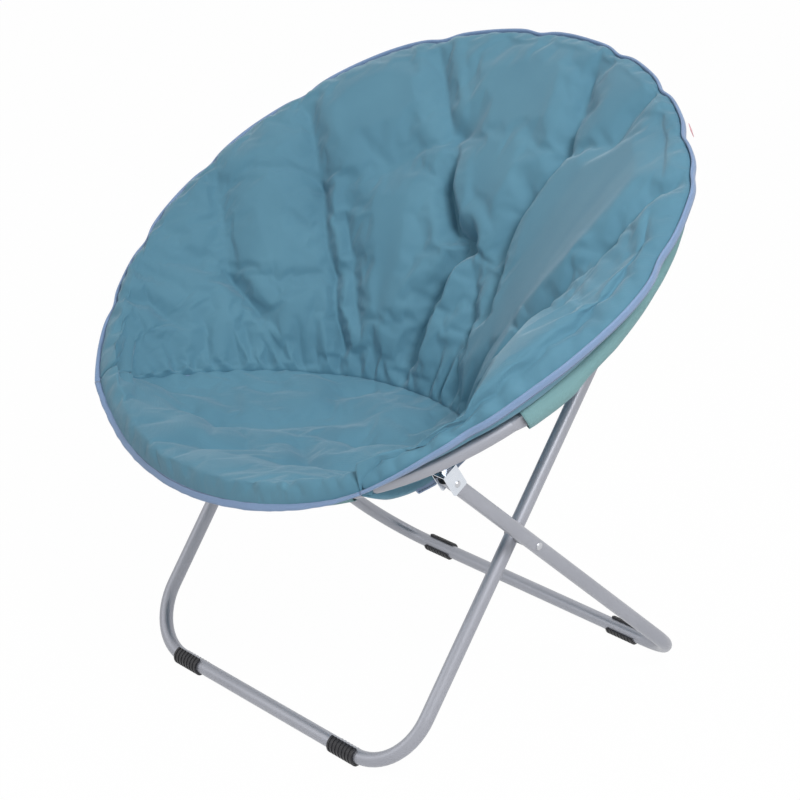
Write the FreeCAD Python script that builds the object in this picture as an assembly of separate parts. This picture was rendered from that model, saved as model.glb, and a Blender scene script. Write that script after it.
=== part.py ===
"""Folding saucer chair: two crossed tube legs, a tube ring in two hinged halves, and a padded cover.

Millimetres, +Z up, +X to the right of someone seated, -Y the front.
The origin is on the floor, under the middle of the chair.
"""
import FreeCAD
import Part
import math
import os

Vector = FreeCAD.Vector
X_AXIS = Vector(1, 0, 0)
Z_AXIS = Vector(0, 0, 1)
ORIGIN = Vector(0, 0, 0)

# Driving dimensions of the tube
tube_radius = 9.5
tube_wall = 1.2

# Driving dimensions of the ring that carries the cover
ring_radius = 390.0
ring_tilt = 32.0
ring_height = 567.7
ring_hinge_offset = 116.0
ring_centre_y = 4.0
drain_hole_radius = 2.0

# Driving dimensions of the legs
inner_leg_x = 260.7
spacer_length = 18.6
foot_bend_radius = 81.5
foot_tube_height = 12.5
front_foot_y = -235.2
rear_foot_y = 253.1
rail_end_beyond_bolt = 12.5

# Driving dimensions of the fold joints
rivet_radius = 3.0
running_clearance = 0.05
side_clearance = 0.3
bracket_inset = 9.8
front_bolt_drop = 42.9
rear_bolt_drop = 38.4
bracket_rivet_depth = 23.2
bracket_length = 23.0
bracket_sheet = 1.5
ear_below_bolt = 10.5
ear_corner_radius = 3.0
saddle_length = 14.0
saddle_top = -8.0
weld_gap = 0.05
bracket_head_radius = 4.4
cross_head_radius = 5.0
rivet_head_height = 2.2
spacer_radius = 7.0

# Driving dimensions of the ring's flattened ends
lug_thickness = 4.0
lug_height = 20.0
lug_length = 26.0
flattening_length = 20.0

# Driving dimensions of the plastic pieces
plug_cap_thickness = 2.4
plug_spigot_length = 7.0
plug_fit = 0.1
clip_length = 47.0
clip_fit = 0.15
clip_body_thickness = 2.65
clip_rib_height = 0.8
clip_rib_width = 3.2
clip_rib_count = 8
clip_opening_angle = 96.0
front_clip_x = 162.0
rear_clip_x = 187.0

# Driving dimensions of the cover
fabric_gap = 0.3
sleeve_thickness = 1.6
rim_overhang = 22.0
rim_side_height = 34.0
rim_front_drop = 34.0
rim_back_drop = 12.0
rim_edge = 8.0
piping_radius = 3.0
seam_rim_angle = -48.0
seam_end_radius = 348.0
seam_end_depth = 19.0
seam_middle_v = -66.0
seam_middle_depth = 190.0
seam_thickness = 14.0
panel_gap = 1.8
panel_steps = 18
edge_roll_inset = 6.0
edge_roll_height = 28.0
edge_roll_side_rise = 14.0
edge_roll_bulge = 8.0
back_crown = 26.0
side_crown = 4.0
back_fold_height = 7.0
back_underside_crown = 18.0
seat_dish = 34.0
seat_fold_height = 5.0
seat_underside_dish = 36.0
tuft_depth = 9.0
tuft_radius = 22.0
back_tufts = ((0.0, 118.0), (95.0, 250.0), (255.0, 115.0), (300.0, -72.0))
seat_tufts = ((0.0, -183.0), (0.0, -265.0), (140.0, -261.0))
front_sleeve_angle = 36.0
binding_thickness = 3.0
binding_depth = 13.0
tag_angle = 47.0
tag_width = 14.0
tag_length = 12.0
tag_thickness = 0.8

# Places that follow from the driving dimensions
outer_leg_x = inner_leg_x + 2 * tube_radius + spacer_length + 2 * 0.2
bracket_circle = ring_radius - bracket_inset
front_bolt_v = -math.sqrt(bracket_circle ** 2 - outer_leg_x ** 2)
rear_bolt_v = math.sqrt(bracket_circle ** 2 - inner_leg_x ** 2)
sleeve_outer_radius = tube_radius + fabric_gap + sleeve_thickness
rim_radius = ring_radius + rim_overhang
hinge_angle = -math.degrees(math.asin(ring_hinge_offset / ring_radius))
hinge_x = math.sqrt(ring_radius ** 2 - ring_hinge_offset ** 2)
lug_reach = lug_length + flattening_length
lug_reach_angle = math.degrees(lug_reach / ring_radius)


def side_point(v, h):
    """Side view (y, z) of a point v up the ring's slope and h above its plane."""
    tilt = math.radians(ring_tilt)
    y = v * math.cos(tilt) - h * math.sin(tilt)
    z = ring_height + v * math.sin(tilt) + h * math.cos(tilt)
    return y, z


def leg_line(foot_y, bolt):
    """Length and slope of a rail from its foot bar to its upper bolt."""
    run = bolt[0] - foot_y
    rise = bolt[1] - foot_tube_height
    return math.hypot(run, rise), math.degrees(math.atan2(rise, run))


front_bolt = side_point(front_bolt_v, -front_bolt_drop)
rear_bolt = side_point(rear_bolt_v, -rear_bolt_drop)
inner_rail_length, inner_rail_slope = leg_line(front_foot_y, rear_bolt)
outer_rail_length, outer_rail_slope = leg_line(rear_foot_y, front_bolt)
foot_spread = rear_foot_y - front_foot_y
crossing_angle = outer_rail_slope - inner_rail_slope
outer_turn = math.sin(math.radians(180.0 - outer_rail_slope))
inner_turn = math.sin(math.radians(inner_rail_slope))
inner_cross_length = foot_spread * outer_turn / math.sin(math.radians(crossing_angle))
outer_cross_length = foot_spread * inner_turn / math.sin(math.radians(crossing_angle))
cross_y = front_foot_y + inner_cross_length * math.cos(math.radians(inner_rail_slope))
cross_z = foot_tube_height + inner_cross_length * inner_turn


def from_ring(shape):
    """Set a shape made in the ring's own plane into the chair."""
    placed = shape.copy()
    placed.rotate(ORIGIN, X_AXIS, ring_tilt)
    placed.translate(Vector(0, 0, ring_height))
    return placed


def from_leg(shape, foot_y, slope):
    """Set a shape made in a leg's own plane, rails along +Y, into the chair."""
    placed = shape.copy()
    placed.rotate(ORIGIN, X_AXIS, slope)
    placed.translate(Vector(0, foot_y, foot_tube_height))
    return placed


def mirrored(shape):
    """The left-hand twin of a right-hand piece."""
    return shape.mirror(ORIGIN, X_AXIS)


def write(name, shape):
    """Write one piece, or a group of loose pieces, to its own file."""
    placed = shape.copy()
    placed.translate(Vector(0, ring_centre_y, 0))
    placed.exportStep("parts/" + name + ".step")


def write_pair(name, shape):
    """Write a right-hand piece and its left-hand twin."""
    write(name + "_right", shape)
    write(name + "_left", mirrored(shape))


def ring_point(angle, radius, height):
    """A point at an angle round the ring, from +X towards the back."""
    turn = math.radians(angle)
    return Vector(radius * math.cos(turn), radius * math.sin(turn), height)


# Legs: each is one tube bent to a U, open at its two upper ends


def leg_path(half_width, rail_length):
    """Centre line of a U leg in its own plane, from one rail end to the other."""
    bend = foot_bend_radius
    top = rail_length + rail_end_beyond_bolt
    inside = half_width - bend
    slant = bend * math.sqrt(0.5)
    left_rail = Part.LineSegment(Vector(-half_width, top, 0), Vector(-half_width, bend, 0))
    left_bend = Part.Arc(
        Vector(-half_width, bend, 0),
        Vector(-inside - slant, bend - slant, 0),
        Vector(-inside, 0, 0),
    )
    foot = Part.LineSegment(Vector(-inside, 0, 0), Vector(inside, 0, 0))
    right_bend = Part.Arc(
        Vector(inside, 0, 0),
        Vector(inside + slant, bend - slant, 0),
        Vector(half_width, bend, 0),
    )
    right_rail = Part.LineSegment(Vector(half_width, bend, 0), Vector(half_width, top, 0))
    parts = [left_rail, left_bend, foot, right_bend, right_rail]
    return Part.Wire([part.toShape() for part in parts])


def leg_tube(half_width, rail_length, cross_length):
    """A U leg with rivet holes at its upper ends and at the crossing."""
    path = leg_path(half_width, rail_length)
    start = Vector(-half_width, rail_length + rail_end_beyond_bolt, 0)
    along = Vector(0, -1, 0)
    solids = []
    for radius in (tube_radius, tube_radius - tube_wall):
        outline = Part.Wire(Part.makeCircle(radius, start, along))
        solids.append(path.makePipe(Part.Face(outline)))
    leg = solids[0].cut(solids[1])
    hole_radius = rivet_radius + running_clearance
    hole_reach = half_width + 2 * tube_radius
    for height in (rail_length, cross_length):
        hole_start = Vector(-hole_reach, height, 0)
        leg = leg.cut(Part.makeCylinder(hole_radius, 2 * hole_reach, hole_start, X_AXIS))
    return leg.Solids[0]


def dome(base_radius, height, along):
    """A shallow spherical dome standing on the origin, rising along an axis."""
    ball_radius = (base_radius ** 2 + height ** 2) / (2 * height)
    ball = Part.makeSphere(ball_radius, along * (height - ball_radius))
    return ball.common(Part.makeCylinder(base_radius, 2 * height, ORIGIN, along))


def rail_plug(half_width, rail_length):
    """Domed plastic plug in a rail's upper end."""
    along = Vector(0, 1, 0)
    spigot_radius = tube_radius - tube_wall - plug_fit
    rim = plug_cap_thickness / 3
    plug = Part.makeCylinder(spigot_radius, plug_spigot_length, along * -plug_spigot_length, along)
    plug = plug.fuse(Part.makeCylinder(tube_radius, rim, ORIGIN, along))
    cap = dome(tube_radius, plug_cap_thickness - rim, along)
    cap.translate(along * rim)
    plug = plug.fuse(cap)
    plug.translate(Vector(half_width, rail_length + rail_end_beyond_bolt, 0))
    return plug.Solids[0]


def sector(inner, outer, length, opening):
    """A C-shaped bush along X, with its opening towards +Y."""
    half = math.radians(opening / 2)
    side_angle = math.radians((opening / 2 + 180.0) / 2)
    arcs = []
    starts = []
    finishes = []
    for radius in (outer, inner):
        start = Vector(0, radius * math.cos(half), radius * math.sin(half))
        side = Vector(0, radius * math.cos(side_angle), radius * math.sin(side_angle))
        back = Vector(0, -radius, 0)
        other_side = Vector(0, side.y, -side.z)
        finish = Vector(0, start.y, -start.z)
        arcs.append(Part.Arc(start, side, back).toShape())
        arcs.append(Part.Arc(back, other_side, finish).toShape())
        starts.append(start)
        finishes.append(finish)
    first_lip = Part.makeLine(starts[0], starts[1])
    other_lip = Part.makeLine(finishes[0], finishes[1])
    wire = Part.Wire([first_lip, arcs[0], arcs[1], other_lip, arcs[3], arcs[2]])
    bush = Part.Face(wire).extrude(Vector(length, 0, 0))
    bush.translate(Vector(-length / 2, 0, 0))
    return bush


def foot_clip(centre_x):
    """Ribbed plastic clip snapped on a foot bar, open towards the rails."""
    inner = tube_radius + clip_fit
    body_radius = inner + clip_body_thickness
    rib_radius = body_radius + clip_rib_height
    clip = sector(inner, body_radius, clip_length, clip_opening_angle)
    pitch = (clip_length - clip_rib_width) / (clip_rib_count - 1)
    for number in range(clip_rib_count):
        rib = sector(inner, rib_radius, clip_rib_width, clip_opening_angle)
        rib.translate(Vector((clip_rib_width - clip_length) / 2 + number * pitch, 0, 0))
        clip = clip.fuse(rib)
    clip.translate(Vector(centre_x, 0, 0))
    return clip


def clip_on_floor(centre_x, foot_y, slope):
    """A foot clip in the chair, with its ribs flattened where they meet the floor."""
    clip = from_leg(foot_clip(centre_x), foot_y, slope)
    reach = clip_length + 4 * tube_radius
    below = Part.makeBox(reach, reach, reach, Vector(centre_x - reach / 2, foot_y - reach / 2, -reach))
    return clip.cut(below).Solids[0]


# Rivets, all across the chair


def rivet(start_x, end_x, head_radius, y, z, heads):
    """A rivet from start_x to end_x under its domed heads, at (y, z)."""
    solid = Part.makeCylinder(rivet_radius, end_x - start_x, Vector(start_x, 0, 0), X_AXIS)
    for side in heads:
        head = dome(head_radius, rivet_head_height, X_AXIS * side)
        head.translate(X_AXIS * (end_x if side > 0 else start_x))
        solid = solid.fuse(head)
    solid.translate(Vector(0, y, z))
    return solid.Solids[0]


def crossing_spacer():
    """Bush between the two rails, on the cross rivet."""
    start = inner_leg_x + tube_radius + 0.1
    outside = Part.makeCylinder(spacer_radius, spacer_length, Vector(start, cross_y, cross_z), X_AXIS)
    bore_radius = rivet_radius + running_clearance
    bore = Part.makeCylinder(bore_radius, spacer_length, Vector(start, cross_y, cross_z), X_AXIS)
    return outside.cut(bore)


# Ring: two tube halves whose flattened ends lap and are riveted


def quarter_circle_wire(centre, radius, across, up):
    """A circle as four arcs, each facing one side of a rectangle."""
    corners = []
    middles = []
    for number in range(4):
        corner = math.radians(45.0 + 90.0 * number)
        middle = math.radians(90.0 * (number + 1))
        corners.append(centre + across * (radius * math.cos(corner)) + up * (radius * math.sin(corner)))
        middles.append(centre + across * (radius * math.cos(middle)) + up * (radius * math.sin(middle)))
    arcs = []
    for number in range(4):
        arcs.append(Part.Arc(corners[number], middles[number], corners[(number + 1) % 4]).toShape())
    return Part.Wire(arcs)


def flattened_end(direction, lug_x):
    """Round tube pressed flat into a lug, on the right, towards +1 back or -1 front."""
    end_angle = hinge_angle + direction * lug_reach_angle
    centre = ring_point(end_angle, ring_radius, 0)
    across = ring_point(end_angle, 1.0, 0)
    round_wire = quarter_circle_wire(centre, tube_radius, across, Z_AXIS)
    flat_y = -ring_hinge_offset + direction * lug_length
    half_thickness = lug_thickness / 2
    half_height = lug_height / 2
    corners = [
        Vector(lug_x + half_thickness, flat_y, half_height),
        Vector(lug_x - half_thickness, flat_y, half_height),
        Vector(lug_x - half_thickness, flat_y, -half_height),
        Vector(lug_x + half_thickness, flat_y, -half_height),
    ]
    flat_wire = Part.makePolygon(corners + [corners[0]])
    press = Part.makeLoft([round_wire, flat_wire], True, True)
    low_y = min(flat_y, -ring_hinge_offset)
    plate = Part.makeBox(
        lug_thickness, lug_length, lug_height, Vector(lug_x - half_thickness, low_y, -half_height)
    )
    tip_start = Vector(lug_x - half_thickness, -ring_hinge_offset, 0)
    tip = Part.makeCylinder(half_height, lug_thickness, tip_start, X_AXIS)
    lug = press.fuse(plate).fuse(tip)
    hole_start = Vector(lug_x - lug_thickness, -ring_hinge_offset, 0)
    hole = Part.makeCylinder(rivet_radius + running_clearance, 2 * lug_thickness, hole_start, X_AXIS)
    return lug.cut(hole)


def ring_sector(inner, outer, start_angle, sweep):
    """A round section revolved about the ring's axis."""
    centre = Vector(ring_radius, 0, 0)
    outline = Part.Wire(Part.makeCircle(outer, centre, Vector(0, 1, 0)))
    solid = Part.Face(outline).revolve(ORIGIN, Z_AXIS, sweep)
    bore_outline = Part.Wire(Part.makeCircle(inner, centre, Vector(0, 1, 0)))
    bore = Part.Face(bore_outline).revolve(ORIGIN, Z_AXIS, sweep)
    tube = solid.cut(bore)
    tube.rotate(ORIGIN, Z_AXIS, start_angle)
    return tube


def ring_half(direction, lug_x):
    """One half of the ring, +1 for the back half and -1 for the front half."""
    start_angle = hinge_angle + direction * lug_reach_angle
    sweep = 180.0 - 2 * start_angle if direction > 0 else 180.0 + 2 * start_angle
    first = start_angle if direction > 0 else 180.0 - start_angle
    half = ring_sector(tube_radius - tube_wall, tube_radius, first, sweep)
    lug = flattened_end(direction, lug_x)
    half = half.fuse(lug).fuse(mirrored(lug))
    drain_start = Vector(0, direction * ring_radius, -2 * tube_radius)
    drain = Part.makeCylinder(drain_hole_radius, 2 * tube_radius, drain_start, Z_AXIS)
    return half.cut(drain).Solids[0]


lug_offset = (lug_thickness + side_clearance) / 2
back_lug_x = hinge_x + lug_offset
front_lug_x = hinge_x - lug_offset


# Brackets: a zinc-plated U channel welded under the ring, one at each rail end


def ring_bracket(centre_x, bolt_v, bolt_drop):
    """A U channel whose ears hold a rail end, with a saddle up to the ring tube."""
    gap = tube_radius + side_clearance
    outer_half = gap + bracket_sheet
    half_length = bracket_length / 2
    top = bracket_rivet_depth
    height = top + ear_below_bolt
    block = Part.makeBox(
        2 * outer_half, bracket_length, height, Vector(-outer_half, -half_length, -ear_below_bolt)
    )
    lower_edges = []
    for edge in block.Edges:
        centre = edge.CenterOfMass
        at_end = abs(abs(centre.y) - half_length) < 0.01
        if at_end and abs(centre.z + ear_below_bolt) < 0.01:
            lower_edges.append(edge)
    block = block.makeFillet(ear_corner_radius, lower_edges)
    channel = Part.makeBox(
        2 * gap,
        2 * bracket_length,
        height,
        Vector(-gap, -bracket_length, -ear_below_bolt - bracket_sheet),
    )
    bracket = block.cut(channel)
    half_saddle = saddle_length / 2
    saddle_height = bolt_drop + saddle_top - top
    saddle = Part.makeBox(
        saddle_length, saddle_length, saddle_height, Vector(-half_saddle, -half_saddle, top)
    )
    bracket = bracket.fuse(saddle)
    hole_start = Vector(-2 * outer_half, 0, 0)
    hole = Part.makeCylinder(rivet_radius + running_clearance, 4 * outer_half, hole_start, X_AXIS)
    bracket = bracket.cut(hole)
    bracket.translate(Vector(centre_x, bolt_v, -bolt_drop))
    around = math.degrees(math.atan2(bolt_v, centre_x))
    span = 20.0
    tube = ring_sector(0.1, tube_radius + weld_gap, around - span / 2, span)
    return bracket.cut(tube).Solids[0]


def bracket_rivet(centre_x, bolt_v, bolt_drop):
    """The rivet through a bracket's ears and the rail between them."""
    grip = tube_radius + side_clearance + bracket_sheet
    start = centre_x - grip
    return rivet(start, centre_x + grip, bracket_head_radius, bolt_v, -bolt_drop, (-1, 1))


def ring_hinge_rivet():
    """The rivet through the two lapped lugs of the ring."""
    half_grip = lug_thickness + side_clearance / 2
    start = hinge_x - half_grip
    end = hinge_x + half_grip
    return rivet(start, end, bracket_head_radius, -ring_hinge_offset, 0, (-1, 1))


# Cover: two padded panels that meet at the crease, with their edges bound by piping


def rim_height(angle):
    """Height of the padded rim's top edge above the ring's plane."""
    across = math.sin(math.radians(angle))
    if across < 0:
        return rim_side_height - rim_front_drop * abs(across) ** 3
    return rim_side_height - rim_back_drop * across ** 2


def roll_height(angle):
    """Height of the padded roll over the ring tube."""
    return edge_roll_height + edge_roll_side_rise * math.cos(math.radians(angle)) ** 2


def seam_point(share):
    """A point on the crease, share -1 at its left end, 0 in the middle and 1 at its right end."""
    end = ring_point(seam_rim_angle, seam_end_radius, -seam_end_depth)
    size = abs(share)
    v = seam_middle_v + (end.y - seam_middle_v) * size ** 3.6
    h = -seam_middle_depth + (seam_middle_depth - seam_end_depth) * size ** 3.8
    return Vector(end.x * share, v, h)


def seam_beside(share, distance):
    """A point beside the crease, level with it, on the back panel's side when distance is positive."""
    along = seam_point(share + 0.001) - seam_point(share - 0.001)
    beside = Vector(-along.y, along.x, 0)
    beside.normalize()
    return seam_point(share) + beside * distance


def seam_share(step):
    """Share of the crease for an even step across a panel, -1 to 1."""
    return math.copysign(1 - (1 - abs(step)) ** 1.6, step)


def rim_points(angle):
    """Underside of the pad over the ring tube, then its outer edge, in one radial plane."""
    clear = sleeve_outer_radius + fabric_gap
    low = rim_height(angle)
    raised = max(0.0, low / rim_side_height)
    edge_radius = rim_radius - piping_radius - fabric_gap
    return [
        ring_point(angle, ring_radius - clear - 2.6, 1.0),
        ring_point(angle, ring_radius - clear * 0.85, clear * 0.88),
        ring_point(angle, ring_radius + clear * 0.35, clear * 1.17),
        ring_point(angle, ring_radius + clear * 1.13, clear * (0.55 + 0.95 * raised)),
        ring_point(angle, edge_radius, low - rim_edge),
        ring_point(angle, edge_radius, low),
    ]


def panel_section(seam, angle, crown, underside_crown):
    """One closed section of a panel: underside, rim, roll over the tube, top, crease."""
    points = rim_points(angle)
    rim = points[-1]
    roll = ring_point(angle, ring_radius - edge_roll_inset, roll_height(angle))
    chord = rim - roll
    outward = ring_point(angle, 1.0, 0)
    run = chord.dot(outward)
    bulge = outward * -chord.z + Z_AXIS * run
    bulge.normalize()
    roll_middle = (rim + roll) * 0.5 + bulge * edge_roll_bulge
    seam_low = seam - Z_AXIS * seam_thickness
    top_middle = (seam + roll) * 0.5 + Z_AXIS * crown
    low_middle = (seam_low + points[0]) * 0.5 + Z_AXIS * underside_crown
    edges = [Part.Arc(seam_low, low_middle, points[0]).toShape()]
    for number in range(len(points) - 1):
        edges.append(Part.makeLine(points[number], points[number + 1]))
    edges.append(Part.Arc(rim, roll_middle, roll).toShape())
    edges.append(Part.Arc(roll, top_middle, seam).toShape())
    edges.append(Part.makeLine(seam, seam_low))
    return Part.Wire(edges)


def tufted(panel, places):
    """A panel with a rounded hollow pulled in at each stitched tuft."""
    ball_radius = (tuft_radius ** 2 + tuft_depth ** 2) / (2 * tuft_depth)
    for x, v in places:
        for side in sorted({-x, x}):
            probe = Part.makeLine(Vector(side, v, -2 * ring_radius), Vector(side, v, ring_radius))
            top = panel.common(probe).BoundBox.ZMax
            ball = Part.makeSphere(ball_radius, Vector(side, v, top - tuft_depth + ball_radius))
            panel = panel.cut(ball)
    return panel.Solids[0]


def back_panel():
    """Back panel: folds fan out from the crease to the rim."""
    first_angle = seam_rim_angle + math.degrees(panel_gap / ring_radius)
    wires = []
    for number in range(panel_steps + 1):
        step = 1 - 2 * number / panel_steps
        angle = 90.0 - step * (90.0 - first_angle)
        seam = seam_beside(seam_share(step), panel_gap)
        if abs(step) > 0.999:
            seam = ring_point(angle, seam_end_radius, -seam_end_depth)
        closeness = 1 - step ** 2
        fold = back_fold_height * (number % 2)
        crown = side_crown + (back_crown - side_crown) * closeness + fold
        wires.append(panel_section(seam, angle, crown, 1.5 + back_underside_crown * closeness))
    return tufted(Part.makeLoft(wires, True, False), back_tufts)


def seat_panel():
    """Seat panel: a shallow dish from the crease to the front rim."""
    first_angle = seam_rim_angle - math.degrees(panel_gap / ring_radius)
    wires = []
    for number in range(panel_steps + 1):
        step = 1 - 2 * number / panel_steps
        angle = -90.0 + step * (90.0 + first_angle)
        seam = seam_beside(seam_share(step), -panel_gap)
        if abs(step) > 0.999:
            seam = ring_point(angle, seam_end_radius, -seam_end_depth)
        closeness = (1 - step ** 2) ** 0.5
        fold = seat_fold_height * (number % 2)
        crown = fold - 2.0 - seat_dish * closeness
        wires.append(panel_section(seam, angle, crown, -1.5 - seat_underside_dish * closeness))
    return tufted(Part.makeLoft(wires, True, False), seat_tufts)


def rim_piping(first_angle, last_angle, steps):
    """Round piping along the rim between two angles."""
    points = []
    for number in range(steps + 1):
        angle = first_angle + (last_angle - first_angle) * number / steps
        points.append(ring_point(angle, rim_radius, rim_height(angle) - rim_edge / 2))
    curve = Part.BSplineCurve()
    curve.interpolate(points)
    outline = Part.Wire(Part.makeCircle(piping_radius, points[0], curve.tangent(curve.FirstParameter)[0]))
    return Part.Wire(curve.toShape()).makePipeShell([outline], True, False)


def crease_binding():
    """Folded strip that binds the two panels' raw edges under the crease."""
    wires = []
    half = binding_thickness / 2
    for number in range(panel_steps + 1):
        step = 0.9 * (1 - 2 * number / panel_steps)
        top = seam_point(seam_share(step)) - Z_AXIS * (seam_thickness + 2 * fabric_gap)
        corners = [
            top + Vector(0, half, 0),
            top + Vector(0, -half, 0),
            top + Vector(0, -half, -binding_depth),
            top + Vector(0, half, -binding_depth),
        ]
        wires.append(Part.makePolygon(corners + [corners[0]]))
    return Part.makeLoft(wires, True, False)


def tube_sleeve(first_angle, sweep):
    """Fabric sleeve stitched round the ring tube."""
    return ring_sector(tube_radius + fabric_gap, sleeve_outer_radius, first_angle, sweep)


def side_tag():
    """Small blank tag sewn in beside the rim piping."""
    radius = rim_radius + piping_radius + 0.1
    top = rim_height(tag_angle) - rim_edge / 2
    tag = Part.makeBox(tag_thickness, tag_width, tag_length, Vector(0, -tag_width / 2, -tag_length))
    tag.rotate(ORIGIN, Z_AXIS, tag_angle)
    tag.translate(ring_point(tag_angle, radius, top))
    return tag


os.makedirs("parts", exist_ok=True)

inner_tube = leg_tube(inner_leg_x, inner_rail_length, inner_cross_length)
write("inner_leg_tube", from_leg(inner_tube, front_foot_y, inner_rail_slope))
outer_tube = leg_tube(outer_leg_x, outer_rail_length, outer_cross_length)
write("outer_leg_tube", from_leg(outer_tube, rear_foot_y, outer_rail_slope))
inner_plug = rail_plug(inner_leg_x, inner_rail_length)
write_pair("inner_leg_plug", from_leg(inner_plug, front_foot_y, inner_rail_slope))
outer_plug = rail_plug(outer_leg_x, outer_rail_length)
write_pair("outer_leg_plug", from_leg(outer_plug, rear_foot_y, outer_rail_slope))
write_pair("front_foot_clip", clip_on_floor(front_clip_x, front_foot_y, inner_rail_slope))
write_pair("rear_foot_clip", clip_on_floor(rear_clip_x, rear_foot_y, outer_rail_slope))

split_x = outer_leg_x - tube_radius - side_clearance / 2
inner_face_x = inner_leg_x - tube_radius
outer_face_x = outer_leg_x + tube_radius
inner_rivet = rivet(inner_face_x, split_x, cross_head_radius, cross_y, cross_z, (-1,))
write_pair("cross_rivet_shank", inner_rivet)
write_pair("cross_spacer", crossing_spacer())
outer_rivet = rivet(
    split_x + side_clearance, outer_face_x, cross_head_radius, cross_y, cross_z, (1,)
)
write_pair("cross_rivet_head", outer_rivet)

write("ring_back_tube", from_ring(ring_half(1, back_lug_x)))
write("ring_front_tube", from_ring(ring_half(-1, front_lug_x)))
write_pair("ring_hinge_rivet", from_ring(ring_hinge_rivet()))
rear_bracket = ring_bracket(inner_leg_x, rear_bolt_v, rear_bolt_drop)
write_pair("rear_bracket", from_ring(rear_bracket))
front_bracket = ring_bracket(outer_leg_x, front_bolt_v, front_bolt_drop)
write_pair("front_bracket", from_ring(front_bracket))
rear_rivet = bracket_rivet(inner_leg_x, rear_bolt_v, rear_bolt_drop)
write_pair("rear_bracket_rivet", from_ring(rear_rivet))
front_rivet = bracket_rivet(outer_leg_x, front_bolt_v, front_bolt_drop)
write_pair("front_bracket_rivet", from_ring(front_rivet))

back_start = hinge_angle + lug_reach_angle + 0.5
back_sleeve = tube_sleeve(back_start, 180.0 - 2 * back_start)
notch = saddle_length + 2 * fabric_gap
notch_low = Vector(inner_leg_x - notch / 2, rear_bolt_v - notch / 2, -2 * rear_bolt_drop)
for side in (1, -1):
    opening = Part.makeBox(notch, notch, 2 * rear_bolt_drop + saddle_top + fabric_gap, notch_low)
    back_sleeve = back_sleeve.cut(opening if side > 0 else mirrored(opening))
write("back_sleeve", from_ring(back_sleeve.Solids[0]))
front_sleeve = tube_sleeve(-90.0 - front_sleeve_angle, 2 * front_sleeve_angle)
write("front_sleeve", from_ring(front_sleeve))
write("back_pad", from_ring(back_panel()))
write("seat_pad", from_ring(seat_panel()))
end_gap = math.degrees(panel_gap / rim_radius)
back_edge = seam_rim_angle + end_gap
write("back_piping", from_ring(rim_piping(back_edge, 180.0 - back_edge, 24)))
front_edge = seam_rim_angle - end_gap
write("front_piping", from_ring(rim_piping(front_edge, -180.0 - front_edge, 10)))
write("crease_binding", from_ring(crease_binding()))
write("side_tag", from_ring(side_tag()))
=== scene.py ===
import math
import bmesh
import bpy
import numpy as np
from mathutils import Matrix, Vector


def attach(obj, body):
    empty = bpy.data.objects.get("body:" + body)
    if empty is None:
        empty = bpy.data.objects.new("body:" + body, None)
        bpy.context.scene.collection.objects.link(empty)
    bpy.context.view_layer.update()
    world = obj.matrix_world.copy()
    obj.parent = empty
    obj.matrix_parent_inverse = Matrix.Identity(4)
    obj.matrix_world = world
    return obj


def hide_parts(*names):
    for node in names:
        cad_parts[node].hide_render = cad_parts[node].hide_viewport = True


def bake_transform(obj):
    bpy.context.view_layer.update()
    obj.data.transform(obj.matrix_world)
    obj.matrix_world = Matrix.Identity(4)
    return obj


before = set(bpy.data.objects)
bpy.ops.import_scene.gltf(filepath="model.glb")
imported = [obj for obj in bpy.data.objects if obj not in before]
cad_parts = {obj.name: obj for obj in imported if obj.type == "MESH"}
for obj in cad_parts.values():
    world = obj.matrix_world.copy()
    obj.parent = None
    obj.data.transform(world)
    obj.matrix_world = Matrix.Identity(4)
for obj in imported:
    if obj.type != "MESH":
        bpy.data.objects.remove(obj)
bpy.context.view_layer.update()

# Painted steel tube: both legs and the two halves of the ring are 19 mm tube,
# bent on a former and powder coated silver grey, with a fine orange-peel skin.
def plain_material(name, colour, roughness, metallic=0.0):
    """A new node material with its shader set, and the tools to add nodes to it."""
    material = bpy.data.materials.new(name)
    material.use_nodes = True
    shader = material.node_tree.nodes["Principled BSDF"]
    shader.inputs["Base Color"].default_value = (*colour, 1.0)
    shader.inputs["Roughness"].default_value = roughness
    shader.inputs["Metallic"].default_value = metallic
    return material, material.node_tree, shader


def add_node(tree, kind, **settings):
    """A node with its settings; a number or tuple given for an input's name sets that input."""
    node = tree.nodes.new(kind)
    for key, value in settings.items():
        if key in node.inputs:
            node.inputs[key].default_value = value
        else:
            setattr(node, key, value)
    return node


def mottle_group():
    """Soft blotches and fine grain over a surface: a mask of each, and their height."""
    group = bpy.data.node_groups.new("mottle", "ShaderNodeTree")
    face = group.interface
    for name, value in (("Blotch Scale", 20.0), ("Grain Scale", 900.0)):
        socket = face.new_socket(name=name, in_out="INPUT", socket_type="NodeSocketFloat")
        socket.default_value = value
    for name in ("Blotch", "Grain"):
        face.new_socket(name=name, in_out="OUTPUT", socket_type="NodeSocketFloat")
    enter = group.nodes.new("NodeGroupInput")
    leave = group.nodes.new("NodeGroupOutput")
    place = group.nodes.new("ShaderNodeTexCoord")
    blotch = add_node(group, "ShaderNodeTexNoise", Detail=4.0, Roughness=0.55)
    grain = add_node(group, "ShaderNodeTexNoise", Detail=2.0, Roughness=0.6)
    for texture, name in ((blotch, "Blotch"), (grain, "Grain")):
        group.links.new(place.outputs["Object"], texture.inputs["Vector"])
        group.links.new(enter.outputs[name + " Scale"], texture.inputs["Scale"])
        group.links.new(texture.outputs["Fac"], leave.inputs[name])
    return group


MOTTLE = mottle_group()


def add_mottle(tree, blotch_scale, grain_scale):
    """Places the mottle group in a material."""
    node = tree.nodes.new("ShaderNodeGroup")
    node.node_tree = MOTTLE
    node.inputs["Blotch Scale"].default_value = blotch_scale
    node.inputs["Grain Scale"].default_value = grain_scale
    return node


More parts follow.
